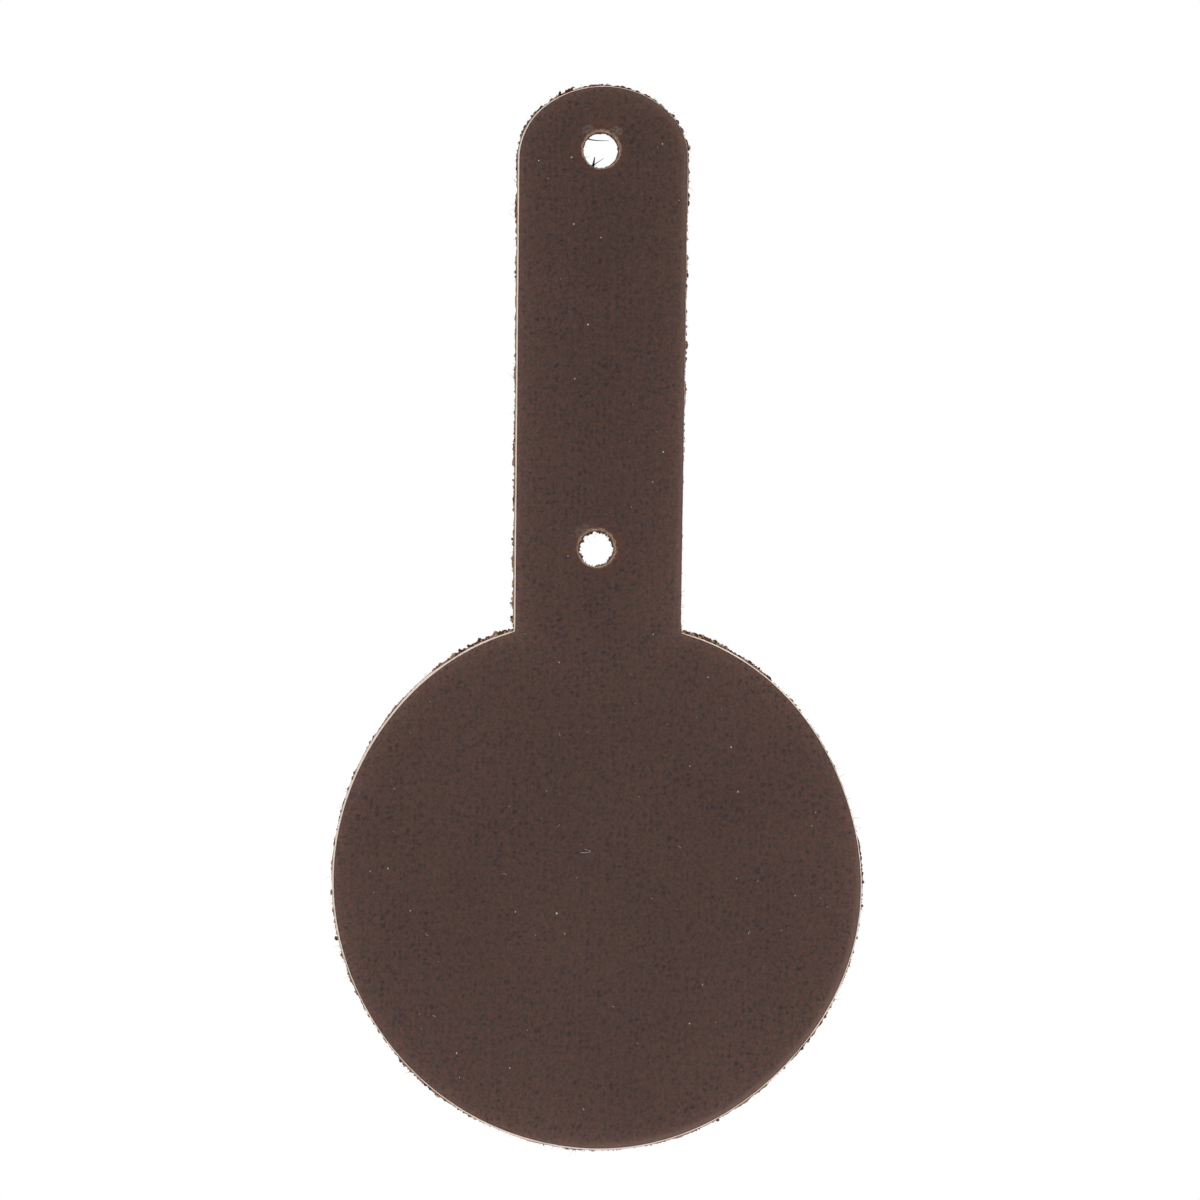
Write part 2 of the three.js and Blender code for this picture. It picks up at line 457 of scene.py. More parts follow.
class Blank:
    """The blank's points, with what is known of each one before any of them moves."""

    def __init__(self, mesh):
        self.mesh = mesh
        self.co = points_of(mesh)
        self.x, self.z = self.co[:, 0].copy(), self.co[:, 2].copy()
        self.depth = np.clip((self.co[:, 1] - FRONT_Y) / THICKNESS, 0, 1)
        self.loop = marks_of(mesh, "loop").round().astype(int)
        self.inset = np.where(self.loop < 0, 1, marks_of(mesh, "inset"))
        self.along = marks_of(mesh, "along")
        self.out = np.stack([marks_of(mesh, "out_x"), marks_of(mesh, "out_z")], 1)
        self.fade = 1 - smoothstep(0, RIM_INSETS[-1], self.inset)
        steps = (RIM_STEP, HOLE_STEP, HOLE_STEP)
        self.length = [self.along[self.loop == k].max() + step for k, step in enumerate(steps)]
        rim = np.flatnonzero((self.loop == 0) & (self.inset == 0) & (self.depth < 0.5 / WALL_ROWS))
        tree = nearest_finder([(self.x[k], 0, self.z[k]) for k in rim])
        found = [tree.find((x, 0, z)) for x, z in zip(self.x, self.z)]
        near = rim[[number for _, number, _ in found]]
        self.to_edge = np.where(self.loop == 0, self.inset, [away for _, _, away in found])
        self.edge_along = self.along[near]
        self.edge_out = np.where(self.loop[:, None] == 0, self.out, self.out[near])
        self.edge_x, self.edge_z = self.x[near], self.z[near]
        self.to_hole = np.stack([
            np.maximum(0, np.hypot(self.x, self.z - h) - HOLE_RIM_RADIUS) for h in (END_HOLE_Z, NECK_HOLE_Z)
        ])

    def shape(self):
        """Moves the points from the flat blank to the real hide."""
        flat = self.co.copy()
        self.stray()
        self.lean_cut_edge()
        self.narrow_holes()
        self.roll_rims()
        self.roughen(flat)
        move_points(self.mesh, self.co)

    def stray(self):
        """The die's outline isn't quite true."""
        waves = outline_waves(self.edge_x, self.edge_z, self.edge_out[:, 0])
        waves = waves * np.exp(-((self.to_edge / WAVE_REACH) ** 2))
        self.co[:, [0, 2]] += self.edge_out * waves[:, None]

    def flare(self, on_head):
        """How far the cut edge leans out at the flesh side."""
        out_x, out_z = self.edge_out.T
        head = FLESH_FLARE + 0.1 * MM * ripple(self.edge_along, self.length[0], 30 * MM, 4)
        angle = np.degrees(np.arctan2(self.edge_z - HEAD_Z, self.edge_x))
        for place, more in FLARE_PATCHES:
            away = (angle - place + 180) % 360 - 180
            head = head + more * np.exp(-((away / FLARE_PATCH_REACH) ** 2))
        strap = STRAP_FLARE - STRAP_FLARE_TURN * out_x - CROWN_FLARE_LESS * out_z
        # The cut also opens towards the back as the sight lines from the camera do
        outward = (self.edge_x - CAMERA_X) * out_x + (self.edge_z - CAMERA_Z) * out_z
        return strap + (head - strap) * on_head + THICKNESS * outward / CAMERA_DISTANCE

    def lean_cut_edge(self):
        """The cut edge leans out towards the flesh side, which is torn."""
        length = self.length[0]
        on_head = 1 - smoothstep(NECK_Z - 3 * MM, NECK_Z + 3 * MM, self.edge_z)
        cover = smoothstep(-0.35, 0.35, ripple(self.edge_along, length, 8 * MM, 34))
        cover = np.maximum(cover, 0.85 * (1 - on_head))
        self.torn = np.where(self.loop > 0, 1, cover)
        clean = clean_cut(self.edge_out[:, 0], self.edge_z)
        corner = from_corner(self.edge_x, self.edge_z)
        torn = torn_edge(self.edge_along, length, 0.6 * MM, 30, cover) * (1 - 0.8 * clean)
        torn = torn * smoothstep(0.3 * MM, 1.6 * MM, corner) * smoothstep(0.6, 0.9, self.depth)
        outer = np.where(self.loop == 0, (self.flare(on_head) * self.depth + torn) * self.fade, 0)
        self.co[:, [0, 2]] += self.edge_out * outer[:, None]

    def narrow_holes(self):
        """The punched holes narrow towards the flesh side and aren't quite on the centre line."""
        for k, (radius, shift) in enumerate(zip(HOLE_FLESH_RADII, HOLE_FLESH_SHIFTS)):
            mine = self.loop == k + 1
            torn = torn_edge(self.along, self.length[k + 1], HOLE_TEETH, 50 + 10 * k, 1.0) - FRINGE
            inward = (HOLE_RIM_RADIUS - radius) * self.depth**1.5
            inward = inward + torn * HOLE_TORN[k] * smoothstep(0.55, 0.95, self.depth)
            step = self.out * inward[:, None] + np.array(shift) * self.depth[:, None]
            self.co[:, [0, 2]] += np.where(mine[:, None], step * self.fade[:, None], 0)
            carry = np.exp(-((self.to_hole[k] / HOLE_DRIFT_REACH) ** 2))
            self.co[:, [0, 2]] += np.array(HOLE_DRIFTS[k]) * carry[:, None]

    def roll_rims(self):
        """The press rolled the grain rims back, and the back's rims are a little rounded."""
        roll = EDGE_ROLL * np.exp(-self.to_edge / EDGE_ROLL_WIDTH)
        roll = roll + HOLE_ROLL * np.exp(-self.to_hole.min(0) / HOLE_ROLL_WIDTH)
        lift = BACK_ROLL * np.exp(-np.minimum(self.to_edge, self.to_hole.min(0)) / EDGE_ROLL_WIDTH)
        self.co[:, 1] += roll * (1 - self.depth) - lift * self.depth

    def roughen(self, flat):
        """Cut fibres stand proud of each other, the hide isn't quite flat, and its back is matted."""
        wall = np.flatnonzero((self.loop >= 0) & (self.inset == 0))
        rough = [lumps(x, 1.6 * y, z, 1500) + 0.7 * lumps(x, 3 * y, z, 700, 9) for x, y, z in flat[wall]]
        keep = np.sin(np.pi * self.depth[wall]) ** 0.5
        self.co[np.ix_(wall, [0, 2])] += self.out[wall] * (WALL_ROUGHNESS * np.array(rough) * keep)[:, None]
        sway = [0.25 * lumps(x, 0, z, 18) + 0.02 * lumps(x, 5, z, 160) for x, z in zip(self.x, self.z)]
        self.co[:, 1] += np.array(sway) * MM
        back = np.flatnonzero((self.depth > 0.99) & (self.inset > 0))
        nap = [lumps(x, 0, z, 420) + 0.6 * lumps(x, 3, z, 900) for x, z in flat[back][:, [0, 2]]]
        self.co[back, 1] += NAP_ROUGHNESS * np.array(nap)

    def add_finish_marks(self):
        add_marks(self.mesh, "depth", self.depth)
        add_marks(self.mesh, "torn", self.torn)
        add_marks(self.mesh, "to_edge_mm", np.minimum(self.to_edge, 30 * MM) / MM)
        add_marks(self.mesh, "to_hole_mm", np.minimum(self.to_hole.min(0), 30 * MM) / MM)
        for name in ("along", "out_x", "out_z", "inset", "loop"):
            self.mesh.attributes.remove(self.mesh.attributes[name])

    def edge_line(self):
        """The flesh side's rim after shaping, in order: where it is, its way out and how far along."""
        rim = np.flatnonzero((self.loop == 0) & (self.inset == 0) & (self.depth > 0.99))
        rim = rim[np.argsort(self.along[rim])]
        return self.co[rim], self.out[rim], self.along[rim]

    def face_sides(self):
        """For each face 0 for the front, 1 for the cut walls and 2 for the back."""
        corners = np.empty(len(self.mesh.loops), np.int32)
        self.mesh.loops.foreach_get("vertex_index", corners)
        starts = np.empty(len(self.mesh.polygons), np.int32)
        self.mesh.polygons.foreach_get("loop_start", starts)
        low = np.minimum.reduceat(self.depth[corners], starts)
        high = np.maximum.reduceat(self.depth[corners], starts)
        sides = np.where(high - low > 0.01, 1, np.where(low > 0.5, 2, 0))
        return corners, starts, sides

    def lay_out_map(self):
        """Spreads the front, the back and the walls over one square, so that their finish can be baked."""
        gap = 1 * MM
        reach = HEAD_RADIUS + 1.2 * MM
        side = max(4 * reach + 3 * gap, CROWN_TOP_Z - HEAD_LOW.z + 6 * gap)
        corners, starts, sides = self.face_sides()
        counts = np.diff(np.append(starts, len(corners)))
        kind = np.repeat(sides, counts)
        u = gap + reach + self.co[corners, 0]
        u = np.where(kind == 2, side - u, u)
        v = 2 * gap + self.co[corners, 2] - HEAD_LOW.z

        # The walls go in strips between the two straps
        strip_length, strip_pitch = 94 * MM, 6 * MM
        loop = self.loop[corners]
        total = np.array(self.length)[loop]
        along = self.along[corners]
        high = np.repeat(np.maximum.reduceat(along, starts), counts)
        low = np.repeat(np.minimum.reduceat(along, starts), counts)
        along = np.where((high - low > total / 2) & (along < total / 2), along + total, along)
        low = np.repeat(np.minimum.reduceat(along, starts), counts)
        strips = math.ceil(self.length[0] / strip_length)
        strip = np.where(loop == 0, np.floor(low / strip_length), strips)
        at = np.where(loop == 0, along - strip * strip_length, along + (loop - 1) * strip_length / 2)
        wall_u = side / 2 - (strips + 1) * strip_pitch / 2 + strip * strip_pitch
        wall_u = wall_u + self.depth[corners] * 4 * MM
        wall_v = 2 * gap + NECK_Z - HEAD_LOW.z + 6 * MM + at
        u, v = np.where(kind == 1, wall_u, u), np.where(kind == 1, wall_v, v)
        layer = self.mesh.uv_layers.new(name="OFBake")
        layer.data.foreach_set("uv", (np.stack([u, v], 1) / side).astype(np.float32).ravel())
        self.mesh.polygons.foreach_set("material_index", sides.astype(np.int32))


# ---- Finishes


def srgb(red, green, blue):
    """A colour given in the 0 to 255 steps of a screen."""
    return (*[((c / 255 + 0.055) / 1.055) ** 2.4 for c in (red, green, blue)], 1)


class Value:
    """A number that varies over a surface, for sums written as Python expressions."""

    def __init__(self, nodes, socket):
        self.nodes, self.socket = nodes, socket

    def math(self, operation, *others):
        sockets = dict(enumerate((self, *others)))
        made = self.nodes.node("ShaderNodeMath", {"operation": operation}, sockets)
        return Value(self.nodes, made.outputs[0])

    def __add__(self, other):
        return self.math("ADD", other)

    def __sub__(self, other):
        return self.math("SUBTRACT", other)

    def __rsub__(self, other):
        return (self * -1) + other

    def __mul__(self, other):
        return self.math("MULTIPLY", other)

    def __pow__(self, other):
        return self.math("POWER", other)

    __radd__ = __add__
    __rmul__ = __mul__


class Nodes:
    """A node tree under construction."""

    def __init__(self, tree):
        self.tree = tree

    def node(self, kind, settings=None, sockets=None):
        made = self.tree.nodes.new(kind)
        for name, value in (settings or {}).items():
            setattr(made, name, value)
        for name, value in (sockets or {}).items():
            self.join(value, made.inputs[name])
        return made

    def join(self, value, socket):
        if isinstance(value, Value):
            value = value.socket
        if isinstance(value, bpy.types.NodeSocket):
            self.tree.links.new(value, socket)
        else:
            socket.default_value = value


class Finish(Nodes):
    """A material under construction; where is the point on the hide in mm, and x, y and z its parts."""

    def __init__(self, name, **constants):
        self.material = bpy.data.materials.new(name)
        self.material.use_nodes = True
        super().__init__(self.material.node_tree)
        self.surface = self.tree.nodes["Principled BSDF"]
        self.wear(**constants)
        place = self.node("ShaderNodeTexCoord").outputs["Object"]
        scaled = self.node("ShaderNodeVectorMath", {"operation": "SCALE"}, {0: place, "Scale": 1 / MM})
        self.where = scaled.outputs[0]
        apart = self.node("ShaderNodeSeparateXYZ", None, {0: self.where})
        self.x, self.y, self.z = (Value(self, part) for part in apart.outputs)

    def wear(self, **values):
        """Feeds the surface's sockets."""
        for name, value in values.items():
            self.join(value, self.surface.inputs[name.replace("_", " ")])
        return self.material

    def mark(self, name):
        made = self.node("ShaderNodeAttribute", {"attribute_name": name})
        return Value(self, made.outputs["Fac"])

    def vector(self, x, y, z):
        return self.node("ShaderNodeCombineXYZ", None, {0: x, 1: y, 2: z}).outputs[0]

    def cloud(self, where, scale, detail=2.0, roughness=0.5):
        """Soft noise about 0.5, with features about 1/scale across."""
        sockets = {"Vector": where, "Scale": scale, "Detail": detail, "Roughness": roughness}
        return Value(self, self.node("ShaderNodeTexNoise", None, sockets).outputs["Fac"])

    def rise(self, value, low, high, at_low=0.0, at_high=1.0):
        """Goes smoothly from at_low, where value is low, to at_high."""
        settings = {"interpolation_type": "SMOOTHSTEP"}
        sockets = {0: value, 1: low, 2: high, 3: at_low, 4: at_high}
        return Value(self, self.node("ShaderNodeMapRange", settings, sockets).outputs[0])

    def mix(self, share, first, second, blend="MIX"):
        settings = {"data_type": "RGBA", "blend_type": blend}
        sockets = {"Factor": share, 6: first, 7: second}
        return self.node("ShaderNodeMix", settings, sockets).outputs[2]

    def bump(self, height_mm, strength):
        sockets = {"Strength": strength, "Distance": MM, "Height": height_mm}
        return self.node("ShaderNodeBump", None, sockets).outputs["Normal"]


def grain_finish():
    """The oiled smooth side: soft dark pores in rows, faint streaks, mottling and rolled rims."""
    grain = Finish("oiled_grain", Specular_IOR_Level=0.22)
    where, x, z = grain.where, grain.x, grain.z
    swirl = grain.cloud(where, 0.45) - 0.5
    drift = grain.cloud(where, 0.9, 2) - 0.5

    def pores(pitch_x, pitch_z, offset, largest):
        """Soft dark dots, roughly in columns and each of its own strength."""
        at_x = (x + drift * 1.6) * (1 / pitch_x) + offset
        at_z = (z + swirl * 1.8) * (1 / pitch_z)
        settings = {"voronoi_dimensions": "2D", "feature": "SMOOTH_F1"}
        sockets = {"Vector": grain.vector(at_x, at_z, 0), "Scale": 1, "Randomness": 0.8, "Smoothness": 0.25}
        cells = grain.node("ShaderNodeTexVoronoi", settings, sockets)
        luck = grain.node("ShaderNodeSeparateColor", None, {0: cells.outputs["Color"]})
        strength = grain.rise(Value(grain, luck.outputs[0]), 0.1, 0.95)
        return grain.rise(Value(grain, cells.outputs["Distance"]), 0.0, largest, 1, 0) * strength

    thick = grain.rise(grain.cloud(where, 0.16), 0.36, 0.62, 0.5, 1)
    dots = pores(1.2, 1.4, 0, 0.46) * thick
    small_dots = pores(0.66, 0.8, 17, 0.5)

    fine = grain.cloud(grain.vector(x * 2.1, z * 1.9, 0), 1, 2, 0.5) - 0.5
    weave = grain.cloud(grain.vector(x * 1.1, z * 0.9, 30), 1, 2, 0.5) - 0.5
    streaks = grain.cloud(grain.vector(x * 1.5, z * 0.11, 3), 1, 2) - 0.5
    clouds = grain.cloud(where, 0.055, 3) - 0.5
    hue = grain.cloud(grain.vector(x * 1.3 + 40, z * 1.1, 0), 1, 3, 0.6)
    wide_hue = grain.cloud(grain.vector(x * 0.05 + 90, z * 0.05, 0), 1, 2)

    colour = grain.mix(grain.rise(hue, 0.32, 0.68), srgb(72, 60, 55), srgb(90, 60, 51))
    colour = grain.mix(grain.rise(wide_hue, 0.35, 0.65) * 0.3, colour, srgb(80, 62, 51))
    colour = grain.mix(dots * 0.8, colour, srgb(44, 38, 44))
    colour = grain.mix(small_dots * 0.6, colour, srgb(52, 43, 48))
    tone = 1.06 + fine * 0.95 + weave * 0.5 + streaks * 0.3 + clouds * 0.26
    tone = tone + grain.rise(z, NECK_Z / MM, 0, 0.05, -0.03)  # the strap's end is a little darker
    colour = grain.mix(1, colour, grain.vector(tone, tone, tone), "MULTIPLY")
    # The grain is painted lighter towards the outline: partly the smoother, lighter grain that the die's
    # pressure left, partly a painted sheen
    to_edge = grain.mark("to_edge_mm")
    near_edge_sheen = (to_edge * (-1 / 1.3)).math("EXPONENT") * 0.52
    far_edge_sheen = (to_edge * (-1 / 8)).math("EXPONENT") * 0.24
    edge_sheen = near_edge_sheen + far_edge_sheen + 1
    colour = grain.mix(1, colour, grain.vector(edge_sheen, edge_sheen, edge_sheen), "MULTIPLY")

    height = fine * 0.02 - dots * 0.03 + streaks * 0.01
    return grain.wear(
        Base_Color=rims_and_painted_light(grain, colour, swirl),
        Roughness=0.56 + fine * 0.12 - clouds * 0.1 + dots * 0.08,
        Normal=grain.bump(height, 0.7),
    )


def rims_and_painted_light(grain, colour, swirl):
    """The grain's colour with what the die and the punch did to its rims, and the painted sheen, highlight
    and shade about them.
    """
    where, x, z = grain.where, grain.x, grain.z
    to_edge, to_hole = grain.mark("to_edge_mm"), grain.mark("to_hole_mm")

    def patch(at_x, at_z, wide, high):
        """A soft spot about a place, in millimetres."""
        spot = ((x - at_x) * (1 / wide)) ** 2 + ((z - at_z) * (1 / high)) ** 2
        return grain.rise(spot + swirl * 2.2, 0.1, 1.3, 1, 0)

    hole_ring = grain.rise(to_hole, 0.1, 2.4, 1, 0)
    blush = (patch(0.2, 5.0, 3.4, 1.0) * 0.6).math("MAXIMUM", patch(-4.9, 1.2, 1.3, 2.8) * 0.5)
    mottle = grain.rise(grain.cloud(where, 1.4, 3), 0.38, 0.62, 0.15, 1)
    red = (hole_ring * 0.4).math("MAXIMUM", blush) * mottle
    colour = grain.mix(red, colour, srgb(112, 66, 53))
    # Painted sheen: bluish-grey patches at the upper left and upper right of the end hole, where its dished
    # grain would catch the light
    hole_sheen = patch(-2.7, 3.7, 1.5, 1.1).math("MAXIMUM", patch(2.7, 3.5, 1.4, 1.1))
    hole_sheen = hole_sheen * grain.rise(to_hole, 0.1, 0.5) * grain.rise(grain.cloud(where, 1.9, 3), 0.4, 0.6, 0.1, 1)
    colour = grain.mix(hole_sheen * 0.7, colour, srgb(124, 112, 106))

    right_edge = grain.rise(x, 6, 12) * grain.rise(z, NECK_Z / MM - 2, NECK_Z / MM + 6)
    lower_right = grain.rise((x - z + HEAD_Z / MM) * 0.7, 22, 44)
    bevel = grain.rise(to_edge, 0.3, 1.5, 1, 0) * lower_right.math("MAXIMUM", right_edge * 0.6)
    colour = grain.mix(bevel * 0.6, colour, srgb(126, 102, 92))
    # Painted shade: a dark line along the outline's grain rim, where the rolled rim turns from the light,
    # with some darker dye in it
    rim = grain.rise(to_edge, 0.04, 0.28, 1, 0)
    colour = grain.mix(rim * 0.5, colour, srgb(48, 33, 29))

    # A pale line round the holes' grain rims: partly worn grain, partly a painted highlight on the rolled
    # rims
    worn_rim_highlight = grain.rise(to_hole, 0.02, 0.3, 1, 0) * grain.rise(grain.cloud(where, 1.9, 3, 0.6), 0.4, 0.58)
    colour = grain.mix(worn_rim_highlight * 0.75, colour, srgb(176, 144, 120))
    # Painted sheen: a bluish-grey haze at the upper left of the neck hole
    neck_hole_sheen = patch(-3.2, NECK_HOLE_Z / MM + 3.0, 2.2, 1.8)
    neck_hole_sheen = neck_hole_sheen * grain.rise(grain.cloud(where, 1.6, 3), 0.36, 0.62)
    return grain.mix(neck_hole_sheen * 0.5, colour, srgb(128, 110, 104))


def cut_finish():
    """The cut walls: a thin dark skin, a pale core and a brown, fibrous flesh side."""
    cut = Finish("cut_edge", Roughness=0.86, Specular_IOR_Level=0.25)
    depth = cut.mark("depth") + (cut.cloud(cut.where, 1.3, 2) - 0.5) * 0.22
    fibres = cut.cloud(cut.vector(cut.x * 2.2, cut.y * 5.5, cut.z * 2.2), 1, 4, 0.7)
    specks = cut.cloud(cut.where, 4.2, 2)
    core = cut.mix(cut.rise(fibres, 0.35, 0.65), srgb(224, 202, 182), srgb(247, 232, 217))
    core = cut.mix(cut.rise(specks, 0.58, 0.72) * 0.6, core, srgb(168, 126, 94))
    brown = cut.mix(cut.rise(fibres, 0.38, 0.62), srgb(110, 76, 59), srgb(170, 136, 112))
    torn = cut.mark("torn")
    colour = cut.mix(cut.rise(depth + torn * 0.36, 0.86, 1.0), core, brown)
    colour = cut.mix(cut.rise(depth, 0.84, 1.0) * (0.3 + torn * 0.7), colour, srgb(72, 46, 36))
    # The punched walls are mottled, and painted darker than the die-cut ones, most towards the flesh side,
    # as painted shade inside the holes
    punched = cut.rise(cut.mark("to_hole_mm"), 0.05, 0.6, 1, 0)
    blotches = cut.rise(cut.cloud(cut.where, 1.6, 4, 0.6), 0.44, 0.58)
    mottled_and_shaded = cut.mix(blotches, srgb(104, 64, 46), srgb(198, 162, 132))
    mottled_and_shaded = cut.mix(cut.rise(depth, 0.55, 0.8), mottled_and_shaded, srgb(72, 36, 26))
    colour = cut.mix(punched * 0.85, colour, mottled_and_shaded)
    colour = cut.mix(cut.rise(cut.mark("depth"), 0.035, 0.1, 1, 0), colour, srgb(52, 36, 31))
    return cut.wear(Base_Color=colour, Normal=cut.bump(fibres * 0.09, 0.8))


def flesh_finish():
    """The rough back: a matted brown nap, brushed up and down in soft drifts."""
    flesh = Finish("flesh_side", Roughness=0.93, Specular_IOR_Level=0.15)
    flesh.wear(Sheen_Weight=0.25, Sheen_Roughness=0.5)
    x, z = flesh.x, flesh.z
    bend = flesh.cloud(flesh.where, 0.1, 2) - 0.5
    strands = flesh.cloud(flesh.vector((x + bend * 3) * 2.6, (z + bend * 2) * 0.9, 0), 1, 4, 0.7)
    cross = flesh.cloud(flesh.vector(x * 1.1 + z * 0.8, z * 2.3 - x * 1.1, 20), 1, 4, 0.7)
    tufts = flesh.cloud(flesh.where, 0.6, 5, 0.7)
    drifts = flesh.cloud(flesh.vector(x * 0.11, z * 0.05, 5), 1, 4, 0.6)
    matted = strands * 0.55 + cross * 0.45
    colour = flesh.mix(flesh.rise(matted, 0.36, 0.64), srgb(72, 49, 39), srgb(116, 84, 65))
    colour = flesh.mix(flesh.rise(tufts, 0.52, 0.74) * 0.5, colour, srgb(138, 103, 80))
    colour = flesh.mix(flesh.rise(drifts, 0.42, 0.62) * 0.45, colour, srgb(76, 52, 42))
    return flesh.wear(Base_Color=colour, Normal=flesh.bump(matted * 0.3 + tufts * 0.2, 0.9))


def fibre_finish(name, dark, middle, pale):
    """Torn fibres, from dark through middle to pale by each piece's own shade."""
    fibre = Finish(name, Roughness=0.8, Specular_IOR_Level=0.25)
    shade = fibre.mark("shade") + (fibre.cloud(fibre.where, 2.5, 2) - 0.5) * 0.25
    colour = fibre.mix(fibre.rise(shade, 0, 0.55), dark, middle)
    colour = fibre.mix(fibre.rise(shade, 0.55, 1), colour, pale)
    return fibre.wear(Base_Color=colour)


def floor_finish():
    """A pale floor that fades into the white studio away from the swatter."""
    floor = Finish("pale_floor", Roughness=0.9, Base_Color=srgb(236, 236, 236))
    away = (floor.x * floor.x + floor.y * floor.y) ** 0.5
    white = floor.node("ShaderNodeEmission", None, {"Color": (1, 1, 1, 1)})
    sockets = {0: floor.rise(away, *FLOOR_FADE_MM), 1: floor.surface.outputs[0], 2: white.outputs[0]}
    faded = floor.node("ShaderNodeMixShader", None, sockets)
    floor.join(faded.outputs[0], floor.tree.nodes["Material Output"].inputs["Surface"])
    return floor.material


# ---- Crumbs and hairs: many copies of one small shape


def copies(name, bm, count):
    """One mesh of count copies of a small shape, and that shape's points."""
    template = finished_mesh(name + "_one", bm)
    shape = points_of(template)
    bm = bmesh.new()
    for _ in range(count):
        bm.from_mesh(template)
    bpy.data.meshes.remove(template)
    return finished_mesh(name, bm), shape


def unit(vectors):
    return vectors / np.linalg.norm(vectors, axis=-1, keepdims=True)


def crumbs(name, centres, sizes, turns, shades, finish):
    """Jagged crumbs; sizes are each one's half-lengths, and turns its three axes."""
    bm = bmesh.new()
    bmesh.ops.create_icosphere(bm, subdivisions=1, radius=1)
    mesh, shape = copies(name, bm, len(centres))
    jagged = shape[None] * rng.uniform(0.6, 1.3, (len(centres), len(shape), 1))
    turned = np.einsum("nki,nij->nkj", jagged * sizes[:, None], turns)
    move_points(mesh, (centres[:, None] + turned).reshape(-1, 3))
    add_marks(mesh, "shade", np.repeat(shades, len(shape)))
    return new_piece(name, mesh, finish)


def hairs(name, starts, middles, ends, widths, shades, finish, sides=3, joints=2, tip=0.15):
    """Tapered hairs, each bent from its start past its middle to its end."""
    bm = bmesh.new()
    bmesh.ops.create_cone(bm, cap_ends=True, segments=sides, radius1=1, radius2=tip, depth=1,
                          matrix=Matrix.Translation((0, 0, 0.5)))
    lengths = [e for e in bm.edges if abs(e.verts[0].co.z - e.verts[1].co.z) > 0.5]
    bmesh.ops.subdivide_edges(bm, edges=lengths, cuts=joints, use_grid_fill=True)
    mesh, shape = copies(name, bm, len(starts))
    t = shape[None, :, 2:]
    a, b, c = starts[:, None], middles[:, None], ends[:, None]
    line = (1 - t) ** 2 * a + 2 * t * (1 - t) * b + t**2 * c
    ahead = unit((1 - t) * (b - a) + t * (c - b) + 1e-9)
    across = unit(np.cross(ahead, [0.13, 0.97, 0.21]))
    over = np.cross(ahead, across)
    co = line + (across * shape[None, :, :1] + over * shape[None, :, 1:2]) * widths[:, None, None]
    move_points(mesh, co.reshape(-1, 3))
    add_marks(mesh, "shade", np.repeat(shades, len(shape)))
    mesh.polygons.foreach_set("use_smooth", [True] * len(mesh.polygons))
    bm = bmesh.new()
    bm.from_mesh(mesh)
    bmesh.ops.recalc_face_normals(bm, faces=bm.faces)
    bm.to_mesh(mesh)
    bm.free()
    return new_piece(name, mesh, finish)


def near_corner(x, z):
    """1 by the corners between the strap and the head, falling to 0."""
    return 1 - smoothstep(4 * MM, CORNER_REACH, from_corner(x, z))


def edge_places(line, count, seed):
    """Picks points along the flesh rim, thick in clusters and thin where the cut is clean."""
    co, out, along = line
    length = along[-1] + RIM_STEP
    clusters = smoothstep(0, 0.9, ripple(along, length, 12 * MM, seed))
    knots = smoothstep(0.4, 1, ripple(along, length, 4 * MM, seed + 1))
    x, z = co[:, 0], co[:, 2]
    clean = clean_cut(out[:, 0], z) * smoothstep(NECK_Z, NECK_Z + 3 * MM, z)
    wish = (0.12 + clusters + knots) * (1 - 0.85 * clean)
    wish = wish + 2.5 * near_corner(x, z) * (z < NECK_Z)
    wish = wish + 0.7 * smoothstep(SHOULDER_Z - 4 * MM, SHOULDER_Z, z)
    pick = rng.choice(len(co), count, p=wish / wish.sum())
    way = np.stack([out[pick, 0], np.zeros(count), out[pick, 1]], 1)
    return co[pick], unit(way)


def edge_crumbs(line, finish):
    count = 1800
    base, way = edge_places(line, count, 70)
    corner = near_corner(base[:, 0], base[:, 2])
    large = rng.uniform(0, 1, count) ** (4 - 2.6 * corner)
    sizes = np.stack([
        (0.11 + 0.42 * large) * MM * rng.uniform(0.7, 1.5, count),
        (0.07 + 0.16 * large) * MM,
        (0.1 + 0.22 * large) * MM * rng.uniform(0.7, 1.3, count) * (1 + 0.5 * corner),
    ], 1)
    stand = 0.45 + 0.4 * corner[:, None]  # how far off the rim a crumb may stand, in half-lengths
    centres = base + way * sizes[:, 2:] * rng.uniform(-0.6, stand, (count, 1))
    centres[:, 1] -= rng.uniform(0, 0.7, count) * MM
    back = np.tile([0.0, 1.0, 0.0], (count, 1))
    tilt = unit(way + back * rng.uniform(-0.4, 0.4, (count, 1)))
    sideways = unit(np.cross(back, tilt))
    turns = np.stack([sideways, np.cross(tilt, sideways), tilt], 1)
    return crumbs("edge_crumbs", centres, sizes, turns, rng.uniform(0.1, 1.05, count), finish)


def crown_chips(finish):
    """Two flaps of torn hide at the upper left of the crown, each in a few pieces."""
    # Each piece's centre and half-lengths (x, y, z) in millimetres, its turn in degrees, and its shade
    chips = [
        ((-8.4, 1.1, 10.85), (0.26, 0.2, 0.55), -12, 0.2),
        ((-8.5, 1.2, 10.4), (0.4, 0.25, 0.3), 30, 0.5),
        ((-6.6, 1.1, 11.6), (0.75, 0.22, 0.34), 30, 0.6),
        ((-6.0, 1.1, 11.95), (0.6, 0.2, 0.24), 32, 0.7),
        ((-7.2, 1.2, 11.3), (0.3, 0.2, 0.3), 10, 0.4),
    ]
    centres, sizes, angles, shades = (np.array(column) for column in zip(*chips))
    turns = np.array([Matrix.Rotation(-math.radians(angle), 3, "Y").transposed() for angle in angles])
    return crumbs("crown_chips", centres * MM, sizes * MM, turns, shades, finish)


